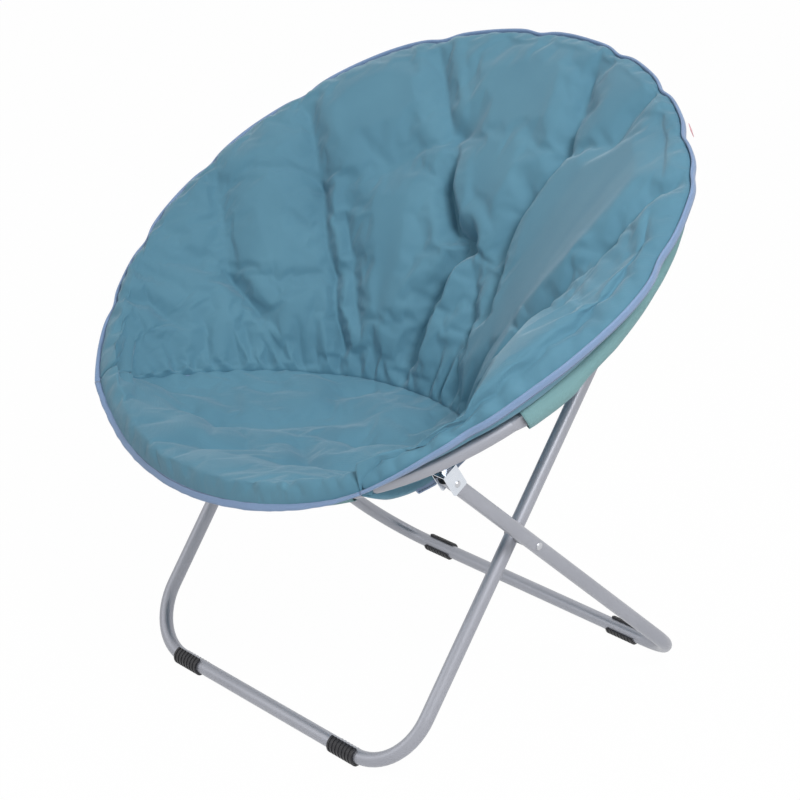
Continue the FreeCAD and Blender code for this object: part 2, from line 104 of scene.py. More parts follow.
def ranged(tree, source, low, high, to_low, to_high):
    """Maps a value from one range to another."""
    node = add_node(tree, "ShaderNodeMapRange")
    node.inputs["From Min"].default_value = low
    node.inputs["From Max"].default_value = high
    node.inputs["To Min"].default_value = to_low
    node.inputs["To Max"].default_value = to_high
    tree.links.new(source, node.inputs["Value"])
    return node.outputs["Result"]


def two_tone(tree, factor, first, second):
    """A colour between two, by a factor."""
    node = add_node(tree, "ShaderNodeMix", data_type="RGBA")
    node.inputs[6].default_value = (*first, 1.0)
    node.inputs[7].default_value = (*second, 1.0)
    tree.links.new(factor, node.inputs[0])
    return node.outputs[2]


def raised(tree, shader, height, distance, strength=1.0, after=None):
    """Bump from a height, in metres."""
    node = add_node(tree, "ShaderNodeBump")
    node.inputs["Strength"].default_value = strength
    node.inputs["Distance"].default_value = distance
    tree.links.new(height, node.inputs["Height"])
    if after is not None:
        tree.links.new(after, node.inputs["Normal"])
    tree.links.new(node.outputs["Normal"], shader.inputs["Normal"])
    return node.outputs["Normal"]


def tube_paint():
    material, tree, shader = plain_material("silver grey powder coat", (0.36, 0.37, 0.41), 0.36, 0.55)
    mottle = add_mottle(tree, 9.0, 1400.0)
    tree.links.new(
        two_tone(tree, mottle.outputs["Blotch"], (0.33, 0.34, 0.385), (0.41, 0.42, 0.465)),
        shader.inputs["Base Color"],
    )
    tree.links.new(
        ranged(tree, mottle.outputs["Grain"], 0.3, 0.7, 0.31, 0.43), shader.inputs["Roughness"]
    )
    raised(tree, shader, mottle.outputs["Grain"], 0.00006, 0.6)
    shader.inputs["Coat Weight"].default_value = 0.15
    shader.inputs["Coat Roughness"].default_value = 0.3
    return material


def dress(node_name, material):
    """Gives a CAD node its material."""
    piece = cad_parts[node_name]
    piece.data.materials.clear()
    piece.data.materials.append(material)
    return piece


TUBE_PAINT = tube_paint()
for tube in ("inner_leg_tube", "outer_leg_tube", "ring_back_tube", "ring_front_tube"):
    dress(tube, TUBE_PAINT)


# Zinc-plated pressings: the four U brackets that hold the rail ends under the
# ring, bright and faintly spangled, and the domed rivets and hinge pins.
def zinc_plate():
    material, tree, shader = plain_material("bright zinc plate", (0.70, 0.74, 0.80), 0.24, 1.0)
    spangle = add_node(tree, "ShaderNodeTexVoronoi", Scale=420.0)
    place = tree.nodes.new("ShaderNodeTexCoord")
    tree.links.new(place.outputs["Object"], spangle.inputs["Vector"])
    mottle = add_mottle(tree, 60.0, 2200.0)
    tree.links.new(
        ranged(tree, spangle.outputs["Color"], 0.0, 1.0, 0.17, 0.34), shader.inputs["Roughness"]
    )
    tree.links.new(
        two_tone(tree, mottle.outputs["Blotch"], (0.62, 0.67, 0.74), (0.80, 0.83, 0.88)),
        shader.inputs["Base Color"],
    )
    raised(tree, shader, mottle.outputs["Grain"], 0.00003, 0.5)
    return material


def rivet_steel():
    material, tree, shader = plain_material("rivet steel", (0.56, 0.57, 0.60), 0.28, 1.0)
    mottle = add_mottle(tree, 150.0, 3000.0)
    tree.links.new(
        ranged(tree, mottle.outputs["Blotch"], 0.3, 0.7, 0.2, 0.4), shader.inputs["Roughness"]
    )
    raised(tree, shader, mottle.outputs["Grain"], 0.00003, 0.5)
    return material


ZINC_PLATE = zinc_plate()
RIVET_STEEL = rivet_steel()
for side in ("left", "right"):
    for end in ("front", "rear"):
        dress(f"{end}_bracket_{side}", ZINC_PLATE)
        dress(f"{end}_bracket_rivet_{side}", RIVET_STEEL)
    dress(f"ring_hinge_rivet_{side}", RIVET_STEEL)
    dress(f"cross_rivet_shank_{side}", RIVET_STEEL)
    dress(f"cross_rivet_head_{side}", RIVET_STEEL)


# Moulded plastic: black ribbed clips that snap on the foot bars, plugs in the
# rails' upper ends, and the grey bushes between the rails at the crossing.
def moulded_plastic(name, colour, roughness):
    material, tree, shader = plain_material(name, colour, roughness)
    mottle = add_mottle(tree, 70.0, 2600.0)
    tree.links.new(
        ranged(tree, mottle.outputs["Blotch"], 0.3, 0.7, roughness - 0.07, roughness + 0.1),
        shader.inputs["Roughness"],
    )
    lighter = tuple(value * 1.7 + 0.004 for value in colour)
    tree.links.new(
        two_tone(tree, mottle.outputs["Grain"], colour, lighter), shader.inputs["Base Color"]
    )
    raised(tree, shader, mottle.outputs["Grain"], 0.00008, 0.7)
    return material


BLACK_PLASTIC = moulded_plastic("black moulded plastic", (0.011, 0.011, 0.014), 0.42)
GREY_PLASTIC = moulded_plastic("grey moulded plastic", (0.23, 0.24, 0.26), 0.5)
for side in ("left", "right"):
    for node in ("front_foot_clip", "rear_foot_clip", "inner_leg_plug", "outer_leg_plug"):
        dress(f"{node}_{side}", BLACK_PLASTIC)
    dress(f"cross_spacer_{side}", GREY_PLASTIC)


# Cover, back and side panel: polyester cloth over loose fibre filling. It hangs
# from the rim, is gathered into the crease, and is held by a few stitched tufts.
# It is worked out on the ring's plane: x across, v up the slope, h above, in mm.
RING_TILT = math.radians(32.0)
RING_RADIUS = 390.0
RING_CENTRE = np.array((0.0, 0.004, 0.5677))


def from_ring(points):
    """Ring-plane millimetres to metres in the chair's own frame."""
    x, v, h = np.moveaxis(np.asarray(points, float), -1, 0)
    y = v * math.cos(RING_TILT) - h * math.sin(RING_TILT)
    z = v * math.sin(RING_TILT) + h * math.cos(RING_TILT)
    return np.stack([x, y, z], -1) / 1000.0 + RING_CENTRE


def eased(at, places, values):
    """A smooth curve through a few measured values."""
    places = np.asarray(places, float)
    values = np.asarray(values, float)
    at = np.asarray(at, float)
    slope = np.gradient(values, places)
    i = np.clip(np.searchsorted(places, at) - 1, 0, len(places) - 2)
    gap = places[i + 1] - places[i]
    s = np.clip((at - places[i]) / gap, 0, 1)
    rise = (3 - 2 * s) * s * s
    return (
        values[i] * (1 - rise)
        + values[i + 1] * rise
        + gap * slope[i] * (s ** 3 - 2 * s * s + s)
        + gap * slope[i + 1] * (s ** 3 - s * s)
    )


RIM_ANGLES = (-51, -36, -28, -18, -9, -2, 5, 15, 21, 31, 39, 55, 73, 90, 106, 120, 132, 142, 151,
              163, 175, 187, 201, 213, 221, 231)
RIM_RADII = (409, 406, 408, 413, 420, 426, 428, 424, 425, 425, 415, 409, 408, 410, 414, 418, 422,
             420, 412, 412, 408, 409, 407, 411, 416, 420)
RIM_HEIGHTS = (14, 30, 36, 42, 45, 46, 45, 43, 42, 40, 37, 30, 25, 22, 21, 21, 22, 22, 23, 25, 26,
               26, 25, 21, 17, 13)
RIM_NOTCHES = (-31.0, 12.0, 31.6, 42.7, 58.8, 75.9, 98.1, 120.2, 150.4, 174.6, 196.0, 212.9)
CREASE_X = (0, 50, 100, 150, 200, 230, 250, 257)
CREASE_V = (-66, -70, -82, -115, -165, -215, -275, -322)
CREASE_H = (-190, -187, -178, -150, -110, -72, -25, 12)
BACK_CROWN = ((-51, -30, -5, 20, 45, 90, 135, 180, 205, 231), (13, 26, 38, 30, 22, 24, 22, 10, 6, 4))
BACK_SPAN = 141.0


def crease_line(a):
    """The crease in ring millimetres, a from -1 on the left to 1 on the right."""
    a = np.asarray(a, float)
    x = 257.0 * (1 - (1 - np.abs(a)) ** 1.6)
    side = np.where(a < 0, -1.0, 1.0)
    return np.stack([side * x, eased(x, CREASE_X, CREASE_V), eased(x, CREASE_X, CREASE_H)], -1)


def beside_crease(a, distance, drop):
    """The crease line shifted level towards the back panel, and lowered."""
    step = 0.004
    along = crease_line(np.clip(a + step, -1, 1)) - crease_line(np.clip(a - step, -1, 1))
    across = np.stack([-along[..., 1], along[..., 0], 0 * a], -1)
    across /= np.linalg.norm(across, axis=-1, keepdims=True) + 1e-9
    ease_out = np.clip((1 - np.abs(a)) / 0.1, 0, 1)[..., None]
    down = np.array((0, 0, 1.0)) * drop
    return crease_line(a) + (across * distance - down) * ease_out


def radial(angle, radius, height):
    """A point at an angle round the ring, at a radius and height."""
    turn = np.radians(angle)
    return np.stack([np.cos(turn) * radius, np.sin(turn) * radius, height + 0 * turn], -1)


def back_rim(angle):
    """Radius and height of the bound edge round the back panel, with a dip at each notch."""
    radius = eased(angle, RIM_ANGLES, RIM_RADII)
    height = eased(angle, RIM_ANGLES, RIM_HEIGHTS)
    for notch in RIM_NOTCHES:
        dip = np.exp(-(((angle - notch) / 2.6) ** 2))
        radius = radius - 4.5 * dip
        height = height - 1.5 * dip
    return radius, height


def bow(first, last, share, lift, skew=1.0):
    """Points between two rows of points, lifted off the straight by an arch."""
    arch = share ** skew
    share = share[..., None]
    row = first * (1 - share) + last * share
    row[..., 2] += 4 * arch * (1 - arch) * lift
    return row


def panel_face(rim_angle, rim_radius, rim_height, crease, crown, roll, share, skew=1.0):
    """Upper face of a panel, share 0 at the rim and 1 at the crease."""
    turn = 0.085
    rim = radial(rim_angle, rim_radius, rim_height)
    top = radial(rim_angle, roll[0], roll[1])
    edge = bow(rim, top, np.clip(share / turn, 0, 1), 5.0)
    wall = bow(top, crease, np.clip((share - turn) / (1 - turn), 0, 1), crown, skew)
    return np.where((share < turn)[..., None], edge, wall)


def panel_back(rim_angle, rim_radius, rim_height, crease, crown, share, thin):
    """Under face of a panel: a strip from the rim to the tube, over it, then down to the crease."""
    lift = np.clip(rim_height / 34.0, 0, 1.3)
    strip = [
        radial(rim_angle, rim_radius, rim_height - 2.0),
        radial(rim_angle, np.minimum(RING_RADIUS + 17.0, rim_radius - 4), 9.0 + 12.0 * lift),
        radial(rim_angle, RING_RADIUS + 8.0, 15.5 + 0 * lift),
        radial(rim_angle, RING_RADIUS - 8.0, 14.5 + 0 * lift),
        radial(rim_angle, RING_RADIUS - 15.5, 3.0 + 0 * lift),
    ]
    under = crease - np.array((0, 0, 1.0)) * (13.0 * thin)[..., None]
    at = share * 8.0
    face = strip[0] + 0 * at[..., None]
    for number in range(4):
        part = np.clip(at - number * 0.5, 0, 0.5)[..., None] * 2
        face = np.where((at > number * 0.5)[..., None],
                        strip[number] * (1 - part) + strip[number + 1] * part, face)
    wall = bow(strip[4] + 0 * face, under, np.clip((share - 0.25) / 0.75, 0, 1), crown - 7.0)
    return np.where((share > 0.25)[..., None], wall, face)


def face_normals(grid):
    """Unit normals of a grid of points, towards the sitter."""
    along = np.gradient(grid, axis=0)
    down = np.gradient(grid, axis=1)
    normal = np.cross(along, down)
    normal /= np.linalg.norm(normal, axis=-1, keepdims=True) + 1e-9
    return normal * np.where(normal[..., 2:] < 0, -1.0, 1.0)


def line_distance(points, line):
    """Distance in the ring plane from each point to a drawn line, and how far along it lies."""
    line = np.asarray(line, float)
    best = np.full(points.shape[:-1], 1e9)
    along = np.zeros(points.shape[:-1])
    side = np.zeros(points.shape[:-1])
    total = len(line) - 1
    for number in range(total):
        a, b = line[number], line[number + 1]
        run = b - a
        share = np.clip(((points[..., :2] - a) @ run) / (run @ run), 0, 1)
        gap = points[..., :2] - (a + share[..., None] * run)
        distance = np.hypot(gap[..., 0], gap[..., 1])
        nearer = distance < best
        best = np.where(nearer, distance, best)
        along = np.where(nearer, (number + share) / total, along)
        side = np.where(nearer, np.sign(run[0] * gap[..., 1] - run[1] * gap[..., 0]), side)
    return best, along, side


def fold_height(points, folds):
    """Height of drawn folds: a narrow valley with a soft swell on each side of it."""
    height = np.zeros(points.shape[:-1])
    pull = np.zeros(points.shape[:-1])
    for line, depth, width, lean in folds:
        distance, along, side = line_distance(points, line)
        ends = np.clip(np.minimum(along, 1 - along) * 7.0 + 0.25, 0, 1)
        valley = 1.3 * np.exp(-np.abs(distance / width) ** 1.6)
        swell = np.exp(-(((distance - 2.2 * width) / (1.3 * width)) ** 2)) * (1 + lean * side)
        height += ends * depth * (0.45 * swell - valley)
        pull = np.maximum(pull, ends * np.exp(-((distance / (0.5 * width)) ** 2)) * min(1, depth / 9))
    return height, pull


def pleats(along, share, spots, near_end):
    """Gathers that start at one edge and fade into the panel."""
    height = np.zeros(np.broadcast(along, share).shape)
    for place, width, length, depth in spots:
        reach = share if near_end else 1 - share
        fade = np.clip(1 - reach / length, 0, 1) ** 1.4
        spread = width * (1 + 1.6 * reach / length)
        offset = (along - place) / spread
        height += fade * depth * (0.5 * np.exp(-((np.abs(offset) - 1.7) ** 2)) - np.exp(-offset ** 2))
    return height


def quilted_panel(name, columns, upper, under, ease, pins, seed):
    """A closed padded panel from its two faces, puffed up by a short cloth simulation."""
    rows = upper.shape[1] + under.shape[1] - 1
    mesh = bmesh.new()
    uv_map = mesh.loops.layers.uv.new("cloth")
    bmesh.ops.create_grid(mesh, x_segments=columns - 1, y_segments=rows, size=0.5, calc_uvs=True)
    loop_of_faces = np.concatenate([upper, under[:, ::-1][:, :-1], upper[:, :1]], axis=1)
    pin_rows = np.concatenate([pins, np.ones((columns, rows + 1 - pins.shape[1]))], axis=1)
    metres = from_ring(loop_of_faces)
    weight = mesh.verts.layers.float.new("pin")
    for vert in mesh.verts:
        i = int(round((vert.co.x + 0.5) * (columns - 1)))
        j = int(round((vert.co.y + 0.5) * rows))
        vert[weight] = pin_rows[i, j]
        vert.co = metres[i, j]
    bmesh.ops.remove_doubles(mesh, verts=mesh.verts, dist=0.00025)
    bmesh.ops.dissolve_degenerate(mesh, edges=mesh.edges, dist=0.0001)
    holes = [edge for edge in mesh.edges if edge.is_boundary]
    if holes:
        bmesh.ops.holes_fill(mesh, edges=holes, sides=0)
    bmesh.ops.recalc_face_normals(mesh, faces=mesh.faces)
    data = bpy.data.meshes.new(name)
    mesh.to_mesh(data)
    mesh.free()
    piece = bpy.data.objects.new(name, data)
    bpy.context.scene.collection.objects.link(piece)
    for polygon in data.polygons:
        polygon.use_smooth = True
    held = np.zeros(len(data.vertices), np.float32)
    data.attributes["pin"].data.foreach_get("value", held)
    group = piece.vertex_groups.new(name="held")
    for level in range(0, 11):
        chosen = np.nonzero(np.round(held * 10) == level)[0]
        if level and len(chosen):
            group.add([int(k) for k in chosen], level / 10.0, "REPLACE")
    start = np.array([v.co for v in data.vertices])
    cloth = piece.modifiers.new("filling", "CLOTH")
    settings = cloth.settings
    settings.quality = 5
    settings.mass = 0.25
    settings.tension_stiffness = 18.0
    settings.compression_stiffness = 18.0
    settings.shear_stiffness = 8.0
    settings.bending_stiffness = 0.25
    settings.tension_damping = 8.0
    settings.compression_damping = 8.0
    settings.air_damping = 4.0
    settings.shrink_min = -ease
    settings.use_pressure = True
    settings.uniform_pressure_force = 3.2
    settings.vertex_group_mass = "held"
    settings.pin_stiffness = 1.2
    settings.effector_weights.gravity = 0.0
    cloth.collision_settings.use_collision = False
    cloth.point_cache.frame_start = 1
    cloth.point_cache.frame_end = 24
    scene = bpy.context.scene
    for step in range(1, 19):
        scene.frame_set(step)
    graph = bpy.context.evaluated_depsgraph_get()
    puffed = piece.evaluated_get(graph).data
    now = np.empty(len(puffed.vertices) * 3)
    puffed.vertices.foreach_get("co", now)
    now = now.reshape(-1, 3)
    piece.modifiers.remove(cloth)
    scene.frame_set(1)
    move = now - start
    size = np.linalg.norm(move, axis=1, keepdims=True)
    cap = 0.016
    move *= np.minimum(1.0, cap / (size + 1e-9))
    data.vertices.foreach_set("co", (start + move).ravel())
    data.update()
    return piece


def back_tuft_points():
    """Tufts of the back panel, as x and v on the ring plane."""
    return ((-279, -80), (-251, 96), (-88, 239), (95, 247), (8, 113), (309, 99), (-177, 7))


BACK_FOLDS = (
    (((-197, 338), (-149, 282), (-110, 237), (-88, 239)), 8.0, 13.0, 0.3),
    (((-90, 214), (-73, 164), (-36, 121), (-4, 114), (-17, 84), (-30, 34), (-30, -14), (-33, -49)),
     19.0, 12.0, 0.5),
    (((73, 365), (85, 303), (90, 248)), 10.0, 12.0, -0.4),
    (((68, 204), (77, 124), (89, 33)), 5.0, 10.0, 0.2),
    (((95, 247), (90, 209), (72, 159), (60, 90)), 6.0, 14.0, 0.2),
    (((361, 214), (330, 172), (307, 105)), 9.0, 13.0, 0.4),
    (((307, 105), (290, 61), (257, 27), (222, -14)), 8.0, 15.0, -0.4),
    (((-251, 96), (-242, 90), (-202, 32), (-177, 7)), 9.0, 9.0, 0.4),
    (((-202, 82), (-164, 34), (-128, -28)), 7.0, 10.0, 0.3),
    (((-279, -80), (-244, -92), (-221, -99)), 8.0, 9.0, 0.2),
    (((-375, 29), (-325, -25), (-279, -80)), 5.0, 14.0, 0.3),
    (((-331, 185), (-288, 143), (-251, 96)), 6.0, 13.0, 0.3),
    (((-321, -209), (-310, -187), (-284, -187)), 5.0, 10.0, 0.0),
    (((-177, 7), (-150, -40), (-120, -70)), 9.0, 8.0, 0.3),
    (((207, 341), (190, 300), (180, 250)), 5.0, 12.0, 0.2),
    (((8, 113), (40, 60), (60, 0)), 6.0, 11.0, -0.2),
    (((309, 99), (320, 40), (318, -20)), 5.0, 14.0, 0.2),
    (((-88, 239), (-140, 200), (-180, 150)), 4.0, 16.0, 0.0),
)


def back_panel_faces(columns, upper_rows, under_rows):
    """Grids of the back panel's two faces with its folds, gathers and tufts, and its pins."""
    a = np.linspace(-1, 1, columns)[:, None]
    share = np.linspace(0, 1, upper_rows)[None, :] ** 0.92
    a2, s2 = np.broadcast_arrays(a, share)
    angle = 90 - a2 * BACK_SPAN
    radius, height = back_rim(angle)
    crease = crease_line(a2)
    crown = eased(angle, *BACK_CROWN)
    roll = (384.0, np.maximum(height + 4, 26 + 14 * np.cos(np.radians(angle)) ** 2))
    skew = eased(angle, (-51, 0, 25, 45, 180, 231), (0.55, 0.6, 0.85, 1.0, 1.0, 0.8))
    upper = panel_face(angle, radius, height, crease, crown, roll, s2, skew)
    normal = face_normals(upper)
    seam_run = np.concatenate([[0], np.cumsum(np.linalg.norm(np.diff(crease[:, 0], axis=0), axis=1))])
    rim_run = np.radians(angle[:, :1]) * -400.0
    rng = np.random.default_rng(11)
    spots = []
    place = 14.0
    while place < seam_run[-1] - 10:
        spots.append((place, rng.uniform(5, 9), rng.uniform(0.16, 0.5), rng.uniform(4.0, 9.0)))
        place += rng.uniform(18, 34)
    gathers = pleats(seam_run[:, None], s2, spots, False)
    puckers = []
    place = rim_run.min() + 8
    while place < rim_run.max():
        puckers.append((place, rng.uniform(6, 11), rng.uniform(0.1, 0.28), rng.uniform(0.8, 2.4)))
        place += rng.uniform(18, 42)
    puckering = pleats(rim_run, s2, puckers, True)
    folds, pull = fold_height(upper, BACK_FOLDS)
    lift = gathers + puckering + folds
    for x, v in back_tuft_points():
        gap = np.hypot(upper[..., 0] - x, upper[..., 1] - v)
        lift -= 9.0 * np.exp(-((gap / 20.0) ** 2)) + 5.0 * np.exp(-((gap / 6.0) ** 2))
        pull = np.maximum(pull, np.exp(-((gap / 6.0) ** 2)))
    edge = np.clip(s2 / 0.05, 0, 1) * np.clip((1 - s2) / 0.02, 0, 1) * np.clip((1 - np.abs(a2)) / 0.04, 0, 1)
    upper = upper + normal * (lift * edge)[..., None]
    thin = np.clip((1 - np.abs(a)) / 0.06, 0, 1)
    under_share = np.linspace(0, 1, under_rows)[None, :]
    a3, s3 = np.broadcast_arrays(a, under_share)
    angle3 = 90 - a3 * BACK_SPAN
    radius3, height3 = back_rim(angle3)
    under = panel_back(angle3, radius3, height3, crease_line(a3), eased(angle3, *BACK_CROWN), s3, thin + 0 * a3)
    pins = np.clip(pull, 0, 1)
    pins = np.maximum(pins, np.clip(1 - s2 / 0.03, 0, 1))
    pins = np.maximum(pins, np.clip(1 - (1 - s2) / 0.03, 0, 1))
    pins = np.maximum(pins, np.clip(1 - (1 - np.abs(a2)) / 0.05, 0, 1))
    return upper, under, pins


def brushed_cloth(name, light, dark, weave_pitch=0.0011, sheen=0.35):
    """Plain-weave polyester: fine threads both ways, faint slubs, and a soft sheen."""
    material, tree, shader = plain_material(name, light, 0.72)
    place = tree.nodes.new("ShaderNodeTexCoord")
    mottle = add_mottle(tree, 7.0, 520.0)
    threads = []
    for direction in ("X", "Z"):
        thread = add_node(
            tree, "ShaderNodeTexWave", wave_type="BANDS", bands_direction=direction,
            Scale=0.314 / weave_pitch, Distortion=1.2, Detail=1.0,
        )
        thread.inputs["Detail Scale"].default_value = 40.0
        tree.links.new(place.outputs["Object"], thread.inputs["Vector"])
        threads.append(thread.outputs["Fac"])
    weave = add_node(tree, "ShaderNodeMath", operation="ADD")
    tree.links.new(threads[0], weave.inputs[0])
    tree.links.new(threads[1], weave.inputs[1])
    fine = ranged(tree, weave.outputs[0], 0.2, 1.8, 0.0, 1.0)
    tone = add_node(tree, "ShaderNodeMath", operation="MULTIPLY_ADD")
    tree.links.new(fine, tone.inputs[0])
    tone.inputs[1].default_value = 0.22
    tree.links.new(ranged(tree, mottle.outputs["Blotch"], 0.3, 0.7, 0.1, 0.7), tone.inputs[2])
    speck = add_node(tree, "ShaderNodeMath", operation="MULTIPLY_ADD")
    tree.links.new(mottle.outputs["Grain"], speck.inputs[0])
    speck.inputs[1].default_value = 0.35
    tree.links.new(tone.outputs[0], speck.inputs[2])
    tree.links.new(
        two_tone(tree, ranged(tree, speck.outputs[0], 0.2, 1.2, 0.0, 1.0), dark, light),
        shader.inputs["Base Color"],
    )
    tree.links.new(ranged(tree, mottle.outputs["Grain"], 0.3, 0.7, 0.62, 0.8), shader.inputs["Roughness"])
    shader.inputs["Sheen Weight"].default_value = sheen
    shader.inputs["Sheen Roughness"].default_value = 0.45
    shader.inputs["Sheen Tint"].default_value = (0.75, 0.9, 1.0, 1.0)
    shader.inputs["Specular IOR Level"].default_value = 0.3
    raised(tree, shader, weave.outputs[0], 0.00018, 0.55)
    return material


PANEL_CLOTH = brushed_cloth("teal polyester", (0.122, 0.292, 0.392), (0.082, 0.218, 0.308))
back_upper, back_under, back_pins = back_panel_faces(341, 86, 30)
back_panel = quilted_panel("back_panel", 341, back_upper, back_under, 0.05, back_pins, 3)
back_panel.data.materials.append(PANEL_CLOTH)
smoother = back_panel.modifiers.new("fine", "SUBSURF")
smoother.levels = 1
smoother.render_levels = 1
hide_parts("back_pad")
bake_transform(back_panel)


# Cover, seat panel: the same cloth and filling, a shallow dish from the crease
# to the front of the ring, where it rolls over the tube.
SEAT_ANGLES = (231, 240, 253, 261, 268, 276, 285, 297, 305, 309)
SEAT_RADII = (420, 413, 409, 407, 406, 405, 405, 407, 410, 410)
SEAT_HEIGHTS = (13, 9, 4, 3, 3, 3, 4, 7, 11, 14)
SEAT_FOLDS = (
    (((-170, -282), (-150, -275), (-125, -268)), 5.0, 9.0, 0.2),
    (((-125, -268), (-90, -235), (-60, -190), (-20, -150)), 5.0, 16.0, 0.5),
    (((32, -187), (60, -170), (100, -150)), 5.0, 12.0, 0.3),
    (((32, -187), (0, -205), (-40, -210)), 4.0, 12.0, 0.0),
    (((52, -277), (20, -255), (-15, -240)), 5.0, 12.0, 0.3),
    (((52, -277), (90, -262), (130, -240)), 4.0, 13.0, 0.2),
    (((-60, -340), (-40, -310), (-35, -285)), 4.0, 11.0, 0.2),
    (((60, -80), (70, -110), (66, -140)), 7.0, 12.0, 0.3),
    (((-60, -82), (-75, -105), (-95, -125)), 5.0, 12.0, 0.2),
    (((168, -290), (160, -330), (165, -352)), 5.0, 6.0, 0.2),
)
SEAT_TUFTS = ((-170, -282), (-125, -268), (32, -187), (52, -277))


def seat_panel_faces(columns, upper_rows, under_rows):
    """Grids of the seat panel's two faces, and its pins."""
    a = np.linspace(-1, 1, columns)[:, None]
    share = np.linspace(0, 1, upper_rows)[None, :]
    a2, s2 = np.broadcast_arrays(a, share)
    angle = 270 + a2 * 39.0
    radius = eased(angle, SEAT_ANGLES, SEAT_RADII)
    height = eased(angle, SEAT_ANGLES, SEAT_HEIGHTS)
    crease = beside_crease(a2, 4.0, 3.0)
    dish = -34 * np.sqrt(np.clip(1 - a2 * a2, 0, 1))
    upper = panel_face(angle, radius, height, crease, dish, (385.0, 27.0 + 0 * a2), s2)
    normal = face_normals(upper)
    rng = np.random.default_rng(5)
    seam_run = np.concatenate([[0], np.cumsum(np.linalg.norm(np.diff(crease[:, 0], axis=0), axis=1))])
    spots = []
    place = 20.0
    while place < seam_run[-1] - 10:
        spots.append((place, rng.uniform(6, 11), rng.uniform(0.08, 0.2), rng.uniform(1.0, 3.0)))
        place += rng.uniform(30, 60)
    rim_run = np.radians(angle[:, :1]) * 400.0
    puckers = []
    place = rim_run.min() + 10
    while place < rim_run.max():
        puckers.append((place, rng.uniform(6, 12), rng.uniform(0.15, 0.4), rng.uniform(0.8, 2.6)))
        place += rng.uniform(18, 40)
    folds, pull = fold_height(upper, SEAT_FOLDS)
    lift = folds + pleats(seam_run[:, None], s2, spots, False) + pleats(rim_run, s2, puckers, True)
    for x, v in SEAT_TUFTS:
        gap = np.hypot(upper[..., 0] - x, upper[..., 1] - v)
        lift -= 6.0 * np.exp(-((gap / 17.0) ** 2)) + 3.0 * np.exp(-((gap / 6.0) ** 2))
        pull = np.maximum(pull, np.exp(-((gap / 6.0) ** 2)))
    edge = np.clip(s2 / 0.06, 0, 1) * np.clip((1 - s2) / 0.03, 0, 1) * np.clip((1 - np.abs(a2)) / 0.06, 0, 1)
    upper = upper + normal * (lift * edge)[..., None]
    thin = np.clip((1 - np.abs(a)) / 0.08, 0, 1)
    under_share = np.linspace(0, 1, under_rows)[None, :]
    a3, s3 = np.broadcast_arrays(a, under_share)
    angle3 = 270 + a3 * 39.0
    dish3 = -34 * np.sqrt(np.clip(1 - a3 * a3, 0, 1))
    under = panel_back(
        angle3, eased(angle3, SEAT_ANGLES, SEAT_RADII), eased(angle3, SEAT_ANGLES, SEAT_HEIGHTS),
        beside_crease(a3, 4.0, 3.0), dish3 + 2.0, s3, thin + 0 * a3,
    )
    pins = np.maximum(np.clip(pull, 0, 1), np.clip(1 - s2 / 0.04, 0, 1))
    pins = np.maximum(pins, np.clip(1 - (1 - s2) / 0.04, 0, 1))
    pins = np.maximum(pins, np.clip(1 - (1 - np.abs(a2)) / 0.07, 0, 1))
    return upper, under, pins


seat_upper, seat_under, seat_pins = seat_panel_faces(151, 76, 30)
seat_panel = quilted_panel("seat_panel", 151, seat_upper, seat_under, 0.03, seat_pins, 4)
seat_panel.data.materials.append(PANEL_CLOTH)
smoother = seat_panel.modifiers.new("fine", "SUBSURF")
smoother.levels = 1
smoother.render_levels = 1
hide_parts("seat_pad")
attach(seat_panel, "ring_front")


# Bound edge: a slate-blue tape folded over the raw edges of the two panels and
# run round the whole rim with one row of stitching, standing up like a fin.
def rim_station(angle):
    """Centre, outward and fin directions of the bound edge at an angle, from -51 to 309 degrees."""
    back_radius, back_height = back_rim(np.clip(angle, -51, 231))
    seat_radius = eased(np.clip(angle, 231, 309), SEAT_ANGLES, SEAT_RADII)
    seat_height = eased(np.clip(angle, 231, 309), SEAT_ANGLES, SEAT_HEIGHTS)
    front = angle > 231
    radius = np.where(front, seat_radius, back_radius)
    height = np.where(front, seat_height, back_height)
    lean = eased(angle, (-51, -35, 0, 180, 215, 231, 250, 290, 309), (40, 75, 84, 84, 75, 40, -20, -20, 40))
    return radius, height, lean


def bound_edge(name, first, last, count, material):
    """The tape between two angles, as an oval section carried round the rim."""
    mesh = bmesh.new()
    uv_map = mesh.loops.layers.uv.new("cloth")
    ring_of = 16
    bmesh.ops.create_grid(mesh, x_segments=count, y_segments=ring_of, size=0.5, calc_uvs=True)
    angles = np.linspace(first, last, count + 1)
    radius, height, lean = rim_station(angles)
    along = np.linspace(0, 1, count + 1)
    rng = np.random.default_rng(21)
    ripple = np.interp(along, np.linspace(0, 1, 61), rng.uniform(-0.5, 0.5, 61))
    for vert in mesh.verts:
        i = int(round((vert.co.x + 0.5) * count))
        turn = (vert.co.y + 0.5) * 2 * math.pi
        wide = 6.0 * math.copysign(abs(math.cos(turn)) ** 0.75, math.cos(turn))
        thick = 2.3 * math.copysign(abs(math.sin(turn)) ** 0.8, math.sin(turn))
        tilt = math.radians(lean[i])
        out = wide * math.cos(tilt) + thick * math.sin(tilt) + ripple[i]
        up = wide * math.sin(tilt) - thick * math.cos(tilt)
        vert.co = from_ring(radial(angles[i], radius[i] + out, height[i] + up))
    bmesh.ops.remove_doubles(mesh, verts=mesh.verts, dist=0.00005)
    holes = [edge for edge in mesh.edges if edge.is_boundary]
    bmesh.ops.holes_fill(mesh, edges=holes, sides=0)
    bmesh.ops.recalc_face_normals(mesh, faces=mesh.faces)
    data = bpy.data.meshes.new(name)
    mesh.to_mesh(data)
    mesh.free()
    for polygon in data.polygons:
        polygon.use_smooth = True
    data.materials.append(material)
    piece = bpy.data.objects.new(name, data)
    bpy.context.scene.collection.objects.link(piece)
    return piece


